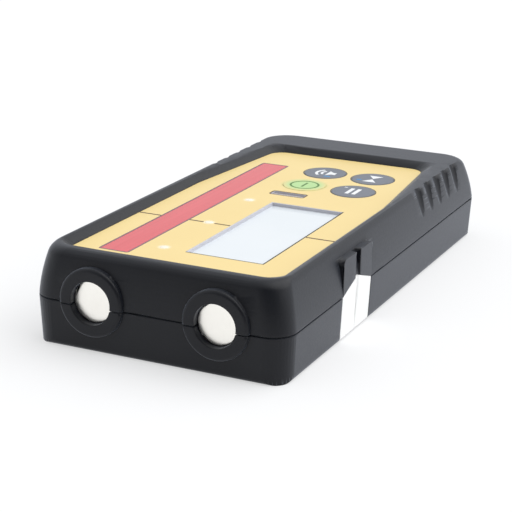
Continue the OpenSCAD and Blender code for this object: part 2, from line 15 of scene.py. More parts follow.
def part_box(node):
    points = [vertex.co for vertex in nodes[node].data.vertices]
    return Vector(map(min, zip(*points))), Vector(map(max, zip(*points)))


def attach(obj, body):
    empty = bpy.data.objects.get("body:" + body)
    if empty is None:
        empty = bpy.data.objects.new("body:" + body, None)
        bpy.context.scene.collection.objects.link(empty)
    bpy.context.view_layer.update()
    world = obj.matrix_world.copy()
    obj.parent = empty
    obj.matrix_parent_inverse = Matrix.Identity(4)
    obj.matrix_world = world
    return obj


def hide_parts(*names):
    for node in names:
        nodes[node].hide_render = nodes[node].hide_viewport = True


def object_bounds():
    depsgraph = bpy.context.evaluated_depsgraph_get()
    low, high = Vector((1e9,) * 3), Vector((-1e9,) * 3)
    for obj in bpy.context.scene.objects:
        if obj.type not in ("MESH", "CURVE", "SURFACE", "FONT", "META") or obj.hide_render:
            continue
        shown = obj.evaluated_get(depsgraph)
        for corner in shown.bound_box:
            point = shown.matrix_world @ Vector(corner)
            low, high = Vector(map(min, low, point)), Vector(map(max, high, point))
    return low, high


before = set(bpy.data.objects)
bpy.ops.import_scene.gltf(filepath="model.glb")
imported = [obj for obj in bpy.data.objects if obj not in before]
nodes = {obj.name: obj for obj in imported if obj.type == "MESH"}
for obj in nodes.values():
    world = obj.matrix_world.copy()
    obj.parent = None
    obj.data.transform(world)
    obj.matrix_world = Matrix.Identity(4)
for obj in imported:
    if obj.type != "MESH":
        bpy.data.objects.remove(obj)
cad_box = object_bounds()
box_mm = [[round(v * 1000, 1) for v in corner] for corner in cad_box]
print("CAD nodes:", len(nodes), "box in mm:", box_mm)

# %% [markdown]
# ## Three small helpers
# Sizes are easiest to read in millimetres and colours as sRGB hex, so one value and one function turn
# them into Blender's metres and linear light. A material is a tree of nodes, and one helper adds any node
# to it: first its options, then its inputs, each a plain value or the socket of another node.

# %% Units, colours and nodes
MM = 0.001


def linear(hex_colour):
    channels = [int(hex_colour[i:i + 2], 16) / 255 for i in (1, 3, 5)]
    return [c / 12.92 if c <= 0.04045 else ((c + 0.055) / 1.055) ** 2.4 for c in channels] + [1.0]


def add_node(tree, kind, options=None, inputs=None):
    node = tree.nodes.new(kind)
    for name, value in (options or {}).items():
        setattr(node, name, value)
    for name, value in (inputs or {}).items():
        if isinstance(value, bpy.types.NodeSocket):
            tree.links.new(value, node.inputs[name])
        else:
            node.inputs[name].default_value = value
    return node


def new_material(name):
    material = bpy.data.materials.new(name)
    material.use_nodes = True
    material.node_tree.nodes.clear()
    return material, material.node_tree


print("mid grey in linear light:", [round(c, 3) for c in linear("#808080")[:3]])

# %% [markdown]
# ## One recipe for moulded and coated surfaces
# Most surfaces on the receiver are one colour with a fine tooth: spark-eroded plastic, printed film,
# coated board. They differ in numbers, not in kind. So one recipe mixes two close colours over broad
# patches, lets the gloss wander a little, and raises a fine grain with a bump. Both patterns are given by
# their width in millimetres: Object coordinates are metres, so a pattern of one per width has a scale of
# 1 / width.

# %% The surface recipe
# The Mix node's colour sockets share their names with others, so they are taken by number.
COLOUR_A, COLOUR_B, COLOUR_OUT = 6, 7, 2
# The sheen is tinted pale blue to stand for a bluish room light: a painted tint of that light in the grazing
# reflection.
SHEEN_ROUGH, PAINTED_SKY_TINT = 0.4, "#dbe4f6"
BUMP_STRENGTH = 0.5


def surface(name, dark, light, patch_mm, grain_mm, grain_height_mm, rough, rough_swing, ior=1.5,
            metallic=0.0, sheen=0.0):
    material, tree = new_material(name)
    place = add_node(tree, "ShaderNodeTexCoord").outputs["Object"]
    patch = add_node(tree, "ShaderNodeTexNoise", None,
                     {"Vector": place, "Scale": 1 / (patch_mm * MM), "Detail": 3.0})
    grain = add_node(tree, "ShaderNodeTexNoise", None,
                     {"Vector": place, "Scale": 1 / (grain_mm * MM), "Detail": 2.0})
    colour = add_node(tree, "ShaderNodeMix", {"data_type": "RGBA"},
                      {0: patch.outputs["Fac"], COLOUR_A: linear(dark), COLOUR_B: linear(light)})
    gloss = add_node(tree, "ShaderNodeMapRange", None,
                     {"Value": grain.outputs["Fac"], "To Min": rough - rough_swing,
                      "To Max": rough + rough_swing})
    bump = add_node(tree, "ShaderNodeBump", None,
                    {"Height": grain.outputs["Fac"], "Strength": BUMP_STRENGTH,
                     "Distance": grain_height_mm * MM})
    shader = add_node(tree, "ShaderNodeBsdfPrincipled", None,
                      {"Base Color": colour.outputs[COLOUR_OUT], "Roughness": gloss.outputs["Result"],
                       "Normal": bump.outputs["Normal"], "IOR": ior, "Metallic": metallic,
                       "Sheen Weight": sheen, "Sheen Roughness": SHEEN_ROUGH,
                       "Sheen Tint": linear(PAINTED_SKY_TINT)})
    add_node(tree, "ShaderNodeOutputMaterial", None, {"Surface": shader.outputs["BSDF"]})
    return material


# Black ABS from a spark-eroded mould: deep black face on, and greyer at a flat angle, where light catches on
# the many small pits. The sheen stands for that, and the pits also dull the mirror, so the IOR is set below
# the 1.54 of bare ABS. The real grain is about 0.2 mm, and is drawn at 0.6 mm so that it shows.
PIT_IOR, PIT_SHEEN, PIT_GRAIN_MM = 1.37, 0.34, 0.6
black_abs = surface("black_abs_spark_eroded", "#06080f", "#0a0d16", 18, PIT_GRAIN_MM, 0.04, 0.42, 0.07,
                    ior=PIT_IOR, sheen=PIT_SHEEN)
# The door is moulded in the same black, a shade greyer from handling.
door_abs = surface("black_abs_battery_door", "#0a0b13", "#0f111a", 14, PIT_GRAIN_MM, 0.04, 0.44, 0.07,
                   ior=PIT_IOR, sheen=PIT_SHEEN)
print("made", black_abs.name, "and", door_abs.name)

# %% [markdown]
# ## The two case shells and the battery door
# The shells are injection mouldings, so no edge on them is sharp. The CAD meshes are loose triangles and
# stay as they are. A copy is merged, its outward edges are given a bevel weight, and a Bevel modifier
# rounds them by a fraction of a millimetre. Inner corners stay as they are: rounding them would pull the
# long triangles of the walls out of place. A Weighted Normal modifier then keeps the large faces flat
# beside the rounded edges. The evaluated copy is kept as a plain mesh that stands for the node.

# %% Keep what the modifiers made
def keep_evaluated(maker, name):
    bpy.context.view_layer.update()
    graph = bpy.context.evaluated_depsgraph_get()
    mesh = bpy.data.meshes.new_from_object(maker.evaluated_get(graph))
    mesh.name = name
    bpy.data.objects.remove(maker)
    piece = bpy.data.objects.new(name, mesh)
    bpy.context.scene.collection.objects.link(piece)
    return piece


# %% [markdown]
# Smooth shading blends the directions at a triangle's corners. On a wall that is 160 mm long, and made of
# triangles as long as that, a groove at one end would then shade the wall at the other. So the shells are
# first cut by planes a few millimetres apart. That changes no shape, and keeps each blend beside its own
# edge.

# %% Cuts across long walls
# Each row: axis (0 is x, 1 is y, 2 is z), furthest plane and step between planes, in millimetres.
WALL_CUTS = ((1, 80, 4), (0, 36, 6), (2, 26, 2))
# A corner this near to a plane counts as lying on it, so that no cut leaves a stub too short to round.
CUT_REACH = 0.4 * MM


def cut_across(shape, axis, furthest_mm, step_mm):
    normal = Vector([1.0 if i == axis else 0.0 for i in range(3)])
    count = int(furthest_mm / step_mm)
    for k in range(-count, count + 1):
        everything = list(shape.verts) + list(shape.edges) + list(shape.faces)
        bmesh.ops.bisect_plane(shape, geom=everything, dist=CUT_REACH, plane_co=normal * (k * step_mm * MM),
                               plane_no=normal)


print("planes in reach:", sum(2 * int(furthest / step) + 1 for axis, furthest, step in WALL_CUTS))

# %% Softened copies of CAD nodes
MERGE = 0.002 * MM


def softened(node, name, material, edge_mm, body, shortest_mm=0.0, limit_deg=35, sharp_deg=60, cuts=()):
    mesh = nodes[node].data.copy()
    shape = bmesh.new()
    shape.from_mesh(mesh)
    bmesh.ops.remove_doubles(shape, verts=shape.verts, dist=MERGE)
    weight = shape.edges.layers.float.new("bevel_weight_edge")
    for edge in shape.edges:
        outward = edge.is_manifold and edge.calc_face_angle_signed() > math.radians(limit_deg)
        edge[weight] = 1.0 if outward and edge.calc_length() > shortest_mm * MM else 0.0
    for axis, furthest_mm, step_mm in cuts:
        cut_across(shape, axis, furthest_mm, step_mm)
    shape.to_mesh(mesh)
    shape.free()
    mesh.materials.clear()
    mesh.materials.append(material)
    mesh.polygons.foreach_set("use_smooth", [True] * len(mesh.polygons))
    maker = bpy.data.objects.new(name + "_maker", mesh)
    bpy.context.scene.collection.objects.link(maker)
    bevel = maker.modifiers.new("soft_edges", "BEVEL")
    bevel.width = edge_mm * MM
    bevel.segments = 2
    bevel.limit_method = "WEIGHT"
    bevel.use_clamp_overlap = False
    rounded = keep_evaluated(maker, name + "_rounded")
    rounded.data.set_sharp_from_angle(angle=math.radians(sharp_deg))
    flat = rounded.modifiers.new("flat_faces", "WEIGHTED_NORMAL")
    flat.mode = "FACE_AREA_WITH_ANGLE"
    flat.keep_sharp = True
    piece = keep_evaluated(rounded, name)
    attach(piece, body)
    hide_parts(node)
    print(name, "faces:", len(piece.data.polygons))
    return piece


# %% Shells and door
# The rim's inner edge turns by 37 degrees: under the limit for rounding, but over the angle that stays crisp.
SHELL_EDGE = {"edge_mm": 0.2, "body": "case", "shortest_mm": 0.8, "limit_deg": 44, "sharp_deg": 29,
              "cuts": WALL_CUTS}
upper_shell = softened("front_case", "upper_shell", black_abs, **SHELL_EDGE)
lower_shell = softened("rear_case", "lower_shell", black_abs, **SHELL_EDGE)
battery_hatch = softened("battery_door", "battery_hatch", door_abs, 0.2, "battery_door")

# %% [markdown]
# ## The yellow front film
# The face is a polycarbonate film, printed on its back and glued into the well. It is a flat sheet, so
# the CAD node stays and only gets a finish. The print is a warm yellow with a fine tooth. A backlit key
# glows green through it, and the three light pipes bleed a little white into it. Each glow is the
# distance from a point, turned into a mix factor, so it stays in place however the object is turned.

# %% Where the features of the face are
def centre_of(node):
    low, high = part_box(node)
    return (low + high) / 2


FACE_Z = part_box("front_sheet")[1].z
pipe_low, pipe_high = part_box("light_pipes")
pipe_foot = (pipe_high.x - pipe_low.x) / 2
pipe_x = (pipe_low.x + pipe_high.x) / 2
pipe_ys = [pipe_low.y + pipe_foot, (pipe_low.y + pipe_high.y) / 2, pipe_high.y - pipe_foot]
power_spot = centre_of("power_key")
print("face at", round(FACE_Z / MM, 2), "mm, light pipes at y =", [round(y / MM, 1) for y in pipe_ys])


# %% The printed film
# Polycarbonate film with printed ink: a warm, even yellow under a satin skin. The ink is a few per cent uneven
# over some 25 mm, and the film's tooth of 0.15 mm is drawn at 0.4 mm so that it shows.
INK_PATCH_MM, FILM_TOOTH_MM, TOOTH_HEIGHT_MM = 25, 0.4, 0.01


def glow_factor(tree, place, spot, full_mm, none_mm):
    reach = add_node(tree, "ShaderNodeVectorMath", {"operation": "DISTANCE"},
                     {0: place, 1: (spot[0], spot[1], FACE_Z)})
    return add_node(tree, "ShaderNodeMapRange", {"interpolation_type": "SMOOTHSTEP"},
                    {"Value": reach.outputs["Value"], "From Min": full_mm * MM, "From Max": none_mm * MM,
                     "To Min": 1.0, "To Max": 0.0}).outputs["Result"]


def printed_film(name, glows):
    material, tree = new_material(name)
    place = add_node(tree, "ShaderNodeTexCoord").outputs["Object"]
    ink = add_node(tree, "ShaderNodeTexNoise", None,
                   {"Vector": place, "Scale": 1 / (INK_PATCH_MM * MM), "Detail": 2.0})
    tooth = add_node(tree, "ShaderNodeTexNoise", None,
                     {"Vector": place, "Scale": 1 / (FILM_TOOTH_MM * MM), "Detail": 1.0})
    colour = add_node(tree, "ShaderNodeMix", {"data_type": "RGBA"},
                      {0: ink.outputs["Fac"], COLOUR_A: linear("#eed28a"), COLOUR_B: linear("#f4db94")}
                      ).outputs[COLOUR_OUT]
    for spot, full_mm, none_mm, hex_colour in glows:
        colour = add_node(tree, "ShaderNodeMix", {"data_type": "RGBA"},
                          {0: glow_factor(tree, place, spot, full_mm, none_mm), COLOUR_A: colour,
                           COLOUR_B: linear(hex_colour)}).outputs[COLOUR_OUT]
    bump = add_node(tree, "ShaderNodeBump", None,
                    {"Height": tooth.outputs["Fac"], "Strength": 0.3, "Distance": TOOTH_HEIGHT_MM * MM})
    shader = add_node(tree, "ShaderNodeBsdfPrincipled", None,
                      {"Base Color": colour, "Roughness": 0.32, "IOR": 1.5, "Normal": bump.outputs["Normal"]})
    add_node(tree, "ShaderNodeOutputMaterial", None, {"Surface": shader.outputs["BSDF"]})
    return material


# Each glow: its spot, the radii in millimetres where it is full and gone, and its colour.
key_glow = [(power_spot, 3.6, 8.4, "#b4db92")]
pipe_glows = [((pipe_x, y), 0.6, 2.4, "#fff6dc") for y in pipe_ys]
yellow_film = printed_film("polycarbonate_film_printed_yellow", key_glow + pipe_glows)
power_film = printed_film("polycarbonate_film_backlit_key", key_glow)


def finish_node(node, material):
    for place in nodes[node].material_slots:
        place.material = material


finish_node("front_sheet", yellow_film)
print("film glows:", len(key_glow + pipe_glows))

# %% [markdown]
# ## Prints on the film
# Thin lines are printed on the film: outlines round the red strip and the slot, the zero line across the
# face, and a ring round each grey key. They could be drawn in the film's shader, but then their edges
# would blur in an exported texture. Here each is a plate of ink a few hundredths of a millimetre thick,
# sunk a little into the film so that no two faces lie in one plane. Two helpers make a closed plate and a
# closed ring from outlines.

# %% Plates and rings of ink
def closed_plate(shape, outline, low, high):
    bottom = [shape.verts.new((x, y, low)) for x, y in outline]
    top = [shape.verts.new((x, y, high)) for x, y in outline]
    shape.faces.new(list(reversed(bottom)))
    shape.faces.new(top)
    for i in range(len(outline)):
        k = (i + 1) % len(outline)
        shape.faces.new((bottom[i], bottom[k], top[k], top[i]))


def closed_ring(shape, outer, inner, low, high):
    loops = [[shape.verts.new((x, y, z)) for x, y in line]
             for line, z in ((outer, low), (outer, high), (inner, high), (inner, low))]
    for a in range(4):
        one, two = loops[a], loops[(a + 1) % 4]
        for i in range(len(outer)):
            k = (i + 1) % len(outer)
            shape.faces.new((one[i], one[k], two[k], two[i]))


def circle(x, y, r, count=64):
    return [(x + r * math.cos(2 * math.pi * i / count), y + r * math.sin(2 * math.pi * i / count))
            for i in range(count)]


def rounded_box(box, grow, r, steps=5):
    x0, y0, x1, y1 = box[0] - grow, box[1] - grow, box[2] + grow, box[3] + grow
    corners = ((x1 - r, y1 - r, 0), (x0 + r, y1 - r, 90), (x0 + r, y0 + r, 180), (x1 - r, y0 + r, 270))
    points = []
    for cx, cy, first in corners:
        for i in range(steps + 1):
            a = math.radians(first + 90 * i / steps)
            points.append((cx + r * math.cos(a), cy + r * math.sin(a)))
    return points


def made_piece(name, shape, material, body):
    bmesh.ops.recalc_face_normals(shape, faces=shape.faces)
    mesh = bpy.data.meshes.new(name)
    shape.to_mesh(mesh)
    shape.free()
    mesh.materials.append(material)
    piece = bpy.data.objects.new(name, mesh)
    bpy.context.scene.collection.objects.link(piece)
    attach(piece, body)
    print(name, "faces:", len(mesh.polygons))
    return piece


# %% Inks
INK_SUNK, INK_PROUD = 0.05 * MM, 0.02 * MM
INK = (FACE_Z - INK_SUNK, FACE_Z + INK_PROUD)


# Screen ink is a matt layer with a slightly uneven gloss and a tooth of 0.3 mm.
def screen_ink(name, dark, light, rough=0.6):
    return surface("screen_ink_" + name, dark, light, 4, 0.3, 0.005, rough, 0.05)


brown_ink = screen_ink("brown", "#4a342c", "#5a4136")
# This black is used only for the painted shadow line on the display frame's near and right ledges.
painted_shadow_ink = screen_ink("black", "#17140f", "#221d17")
# The line beside the red strip is a thin layer that lets the red through, so it looks a greyish lilac.
lilac_ink = screen_ink("grey_lilac", "#7e6068", "#8b6b73")
grey_ink = screen_ink("grey", "#5f5c58", "#6b6863")
print("ink from", round(INK[0] / MM, 2), "to", round(INK[1] / MM, 2), "mm")


# %% Openings under the face
def box_inside(node, rim_mm):
    low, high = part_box(node)
    return (low.x + rim_mm * MM, low.y + rim_mm * MM, high.x - rim_mm * MM, high.y - rim_mm * MM)


# Each of these parts reaches under its opening's edge by this rim, in millimetres.
STRIP_RIM_MM, GLASS_RIM_MM, GRILLE_RIM_MM = 1.0, 1.4, 1.0
strip = box_inside("detector_window", STRIP_RIM_MM)
screen = box_inside("display_window", GLASS_RIM_MM)
slot = box_inside("sounder_mesh", GRILLE_RIM_MM)
print("openings in mm:", [[round(v / MM, 1) for v in box] for box in (strip, screen, slot)])

# %% Outlines of the strip and the slot, zero line and key rings
STRIP_LINE, SLOT_LINE, ZERO_HALF = 0.5 * MM, 0.35 * MM, 0.34 * MM
INK_LAP = 0.1 * MM
shape = bmesh.new()
closed_ring(shape, rounded_box(strip, STRIP_LINE, 0.8 * MM), rounded_box(strip, -INK_LAP, 0.25 * MM), *INK)
made_piece("strip_outline", shape, lilac_ink, "case")
film_low, film_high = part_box("front_sheet")
zero_y = centre_of("display_window").y - 0.3 * MM
# The zero line stops at the strip, at the middle light pipe and at the display.
zero_runs = ((film_low.x + INK_LAP, strip[0] - STRIP_LINE), (strip[2] + STRIP_LINE, pipe_x - 1.6 * MM),
             (pipe_x + 1.9 * MM, screen[0] - INK_LAP), (screen[2] + INK_LAP, film_high.x - INK_LAP))
shape = bmesh.new()
for x0, x1 in zero_runs:
    closed_plate(shape, [(x0, zero_y - ZERO_HALF), (x1, zero_y - ZERO_HALF), (x1, zero_y + ZERO_HALF),
                         (x0, zero_y + ZERO_HALF)], *INK)
SLOT_LAP = 0.04 * MM
closed_ring(shape, rounded_box(slot, SLOT_LINE, 0.9 * MM), rounded_box(slot, -SLOT_LAP, 0.56 * MM), *INK)
made_piece("face_lines", shape, brown_ink, "case")
RING_OUTER, RING_INNER = 7.15 * MM, 6.92 * MM
shape = bmesh.new()
for key in ("sound_key", "precision_key", "hold_key"):
    spot = centre_of(key)
    closed_ring(shape, circle(spot.x, spot.y, RING_OUTER), circle(spot.x, spot.y, RING_INNER), *INK)
made_piece("key_rings", shape, grey_ink, "case")

# %% [markdown]
# ## The red strip
# Behind the strip sit the photodiodes that find the beam. It is a bar of red acrylic, polished on top, so
# it shows its own red and a clear reflection of the white room. The node's edges are softened, and the
# finish is a deep red with faint streaks along the bar, as in extruded acrylic.

# %% Red acrylic
red_acrylic, tree = new_material("red_acrylic_polished")
place = add_node(tree, "ShaderNodeTexCoord").outputs["Object"]
# Polished acrylic: a deep red with a clear mirror over it. The streaks are 1.5 mm wide and 40 mm long.
STREAK_WIDE, STREAK_LONG = 1.5 * MM, 40 * MM
streak_place = add_node(tree, "ShaderNodeMapping", None,
                        {"Vector": place, "Scale": (1 / STREAK_WIDE, 1 / STREAK_LONG, 1 / STREAK_WIDE)})
streaks = add_node(tree, "ShaderNodeTexNoise", None,
                   {"Vector": streak_place.outputs["Vector"], "Scale": 1.0, "Detail": 2.0})
red = add_node(tree, "ShaderNodeMix", {"data_type": "RGBA"},
               {0: streaks.outputs["Fac"], COLOUR_A: linear("#d2454f"), COLOUR_B: linear("#e4565f")})
shader = add_node(tree, "ShaderNodeBsdfPrincipled", None,
                  {"Base Color": red.outputs[COLOUR_OUT], "Roughness": 0.14, "IOR": 1.49})
add_node(tree, "ShaderNodeOutputMaterial", None, {"Surface": shader.outputs["BSDF"]})
red_bar = softened("detector_window", "red_bar", red_acrylic, 0.15, "case")

# %% [markdown]
# ## The display
# The glass lies a millimetre under the film, over a reflective display that is switched off, so it looks
# almost white. The wall of its opening is a pale moulded frame. On the frame's near and right ledges a thin
# black line is painted shadow: the shade in the gap under the film's cut edge. The frame is a closed ring,
# and the top faces of those two ledges get that black as a second material. The slot of the sounder has a
# liner of the same pale plastic.

# %% Display glass, its frame and the slot's liner
# Float glass over a pale reflector: nearly white, with a clear mirror of the room.
glass = surface("float_glass_over_reflective_display", "#dfe6ec", "#e9eef2", 30, 2.0, 0.002, 0.06, 0.02)
finish_node("display_window", glass)
# Pale moulded ABS: matt, and cooler than the film.
pale_frame = surface("pale_abs_window_frame", "#c9c9d2", "#d3d3da", 6, 0.4, 0.01, 0.5, 0.05)
FRAME_WALL, LINER_WALL, FRAME_FIT = 0.45 * MM, 0.25 * MM, 0.02 * MM
# Clear of the part below by this much, and sunk under the face by the next two.
FRAME_LIFT, FRAME_SUNK, LINER_SUNK = 0.01 * MM, 0.02 * MM, 0.08 * MM
shape = bmesh.new()
closed_ring(shape, rounded_box(screen, -FRAME_FIT, 0.3 * MM), rounded_box(screen, -FRAME_WALL, 0.2 * MM),
            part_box("display_window")[1].z + FRAME_LIFT, FACE_Z - FRAME_SUNK)
window_frame = made_piece("window_frame", shape, pale_frame, "case")
# The black goes on the upward faces of the near and right ledges: a painted shadow line under the film's cut
# edge.
window_frame.data.materials.append(painted_shadow_ink)
UPWARD = 0.7
for face in window_frame.data.polygons:
    near = face.center.y < screen[1] + FRAME_WALL
    right = face.center.x > screen[2] - FRAME_WALL
    face.material_index = 1 if face.normal.z > UPWARD and (near or right) else 0
shape = bmesh.new()
closed_ring(shape, rounded_box(slot, -FRAME_FIT, 0.58 * MM), rounded_box(slot, -LINER_WALL, 0.35 * MM),
            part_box("sounder_mesh")[1].z + FRAME_LIFT, FACE_Z - LINER_SUNK)
made_piece("slot_liner", shape, pale_frame, "case")

# %% [markdown]
# ## The keys and their marks
# Each key is a round cap that travels with its own body, so its mark has to ride on that body too. The
# caps are softened copies. The marks are common signs made of small plates of ink: a loudspeaker, two
# triangles that meet for the fine setting, two bars to hold a reading, and a ring with a bar for power.

# %% Key caps
# Moulded silicone: a soft, cool grey with a dull gloss.
grey_cap = surface("silicone_key_cap_grey", "#666c78", "#727884", 5, 0.3, 0.01, 0.4, 0.05)
CAP_EDGE_MM = 0.12
softened("power_key", "power_key_cap", power_film, CAP_EDGE_MM, "power_key")
for key in ("sound_key", "precision_key", "hold_key"):
    softened(key, key + "_cap", grey_cap, CAP_EDGE_MM, key)
KEY_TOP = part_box("hold_key")[1].z
KEY_INK = (KEY_TOP - INK_SUNK, KEY_TOP + INK_PROUD)
KEY_INK_ROUGH = 0.5
white_ink = screen_ink("white", "#e9ecf0", "#f4f6f8", KEY_INK_ROUGH)
blue_ink = screen_ink("blue", "#3f86bd", "#4a93c9", KEY_INK_ROUGH)
green_ink = screen_ink("green", "#4f7c36", "#5c8a41", KEY_INK_ROUGH)
print("key tops at", round(KEY_TOP / MM, 2), "mm")


# %% Marks on the keys
def marks(name, key, material, plates, rings=()):
    spot = centre_of(key)
    shape = bmesh.new()
    for outline in plates:
        closed_plate(shape, [(spot.x + x * MM, spot.y + y * MM) for x, y in outline], *KEY_INK)
    for outer, inner in rings:
        closed_ring(shape, circle(spot.x, spot.y, outer * MM), circle(spot.x, spot.y, inner * MM), *KEY_INK)
    return made_piece(name, shape, material, key)


def bar(x0, y0, x1, y1):
    return [(x0, y0), (x1, y0), (x1, y1), (x0, y1)]


def arc_band(x, y, inner, outer, from_deg, to_deg, steps=8):
    angles = [math.radians(from_deg + (to_deg - from_deg) * i / steps) for i in range(steps + 1)]
    return ([(x + outer * math.cos(a), y + outer * math.sin(a)) for a in angles]
            + [(x + inner * math.cos(a), y + inner * math.sin(a)) for a in reversed(angles)])


# Outlines are in millimetres from the middle of the key.
marks("power_mark", "power_key", green_ink, [bar(-0.35, -2.4, 0.35, 2.4)], [(4.7, 4.05)])
marks("hold_mark", "hold_key", white_ink, [bar(-1.75, -3.2, -0.5, 3.2), bar(0.5, -3.2, 1.75, 3.2),
                                           bar(-4.2, 3.2, -3.2, 3.8)])
marks("precision_mark", "precision_key", white_ink,
      [[(-2.3, 3.7), (0, 0.4), (2.3, 3.7)], [(-2.3, -3.7), (2.3, -3.7), (0, -0.4)]])
marks("precision_tick", "precision_key", blue_ink, [bar(-4.6, -2.9, -3.0, -1.9)])
marks("sound_mark", "sound_key", white_ink,
      [[(3.7, 1.1), (2.5, 1.1), (0.9, 2.6), (0.9, -2.6), (2.5, -1.1), (3.7, -1.1)],
       arc_band(1.4, 0, 2.0, 2.8, 130, 230), arc_band(1.4, 0, 3.7, 4.6, 130, 230)])
marks("sound_tick", "sound_key", blue_ink, [bar(1.0, -4.3, 3.2, -3.3)])

# %% [markdown]
# ## Light pipes and the sounder's grille
# Three clear pipes bring signal lights to the face and end in low domes. The slot between display and
# keys is closed by a woven wire grille. Domes and wires repeat, so two Geometry Nodes trees make them. In
# the grille, straight wires are laid both ways and then lifted by a product of two cosines, up in one set
# and down in the other, so that they pass over and under each other as woven wire does.

# %% A tree with named inputs
def new_tree(name, inputs):
    tree = bpy.data.node_groups.new(name, "GeometryNodeTree")
    keys = {}
    for label, kind, value in inputs:
        socket = tree.interface.new_socket(label, in_out="INPUT", socket_type="NodeSocket" + kind)
        if value is not None:
            socket.default_value = value
        keys[label] = socket.identifier
    tree.interface.new_socket("Geometry", in_out="OUTPUT", socket_type="NodeSocketGeometry")
    return tree, keys


def grown_piece(name, tree, keys, values, body):
    maker = bpy.data.objects.new(name + "_maker", bpy.data.meshes.new(name + "_maker"))
    bpy.context.scene.collection.objects.link(maker)
    modifier = maker.modifiers.new("grow", "NODES")
    modifier.node_group = tree
    for label, value in values.items():
        modifier[keys[label]] = value
    piece = keep_evaluated(maker, name)
    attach(piece, body)
    print(name, "faces:", len(piece.data.polygons))
    return piece


# %% Domes on the light pipes
dome_tree, dome_keys = new_tree("row_of_domes", [
    ("Start", "Vector", None), ("Pitch", "Float", 27 * MM), ("Radius", "Float", 1.2 * MM),
    ("Rise", "Float", 0.15 * MM), ("Count", "Int", 3), ("Finish", "Material", None)])
given = add_node(dome_tree, "NodeGroupInput").outputs
step = add_node(dome_tree, "ShaderNodeCombineXYZ", None, {"Y": given["Pitch"]})
row = add_node(dome_tree, "GeometryNodeMeshLine", None,
               {"Count": given["Count"], "Start Location": given["Start"], "Offset": step.outputs["Vector"]})
ball = add_node(dome_tree, "GeometryNodeMeshUVSphere", None, {"Segments": 32, "Rings": 16, "Radius": 1.0})
smooth = add_node(dome_tree, "GeometryNodeSetShadeSmooth", None, {"Geometry": ball.outputs["Mesh"]})
squat = add_node(dome_tree, "ShaderNodeCombineXYZ", None,
                 {"X": given["Radius"], "Y": given["Radius"], "Z": given["Rise"]})
dome = add_node(dome_tree, "GeometryNodeTransform", None,
                {"Geometry": smooth.outputs["Geometry"], "Scale": squat.outputs["Vector"]})
placed = add_node(dome_tree, "GeometryNodeInstanceOnPoints", None,
                  {"Points": row.outputs["Mesh"], "Instance": dome.outputs["Geometry"]})
real = add_node(dome_tree, "GeometryNodeRealizeInstances", None, {"Geometry": placed.outputs["Instances"]})
dressed = add_node(dome_tree, "GeometryNodeSetMaterial", None,
                   {"Geometry": real.outputs["Geometry"], "Material": given["Finish"]})
add_node(dome_tree, "NodeGroupOutput", None, {"Geometry": dressed.outputs["Geometry"]})
# Clear acrylic lit from below: a bright, creamy spot with a small highlight.
clear_pipe = surface("clear_acrylic_light_pipe", "#f8f1dc", "#fff8ea", 3, 0.5, 0.002, 0.12, 0.03, ior=1.49)
finish_node("light_pipes", clear_pipe)
grown_piece("pipe_domes", dome_tree, dome_keys,
            {"Start": (pipe_x, pipe_ys[0], FACE_Z), "Pitch": pipe_ys[1] - pipe_ys[0], "Radius": 1.2 * MM,
             "Rise": 0.15 * MM, "Count": 3, "Finish": clear_pipe}, "case")

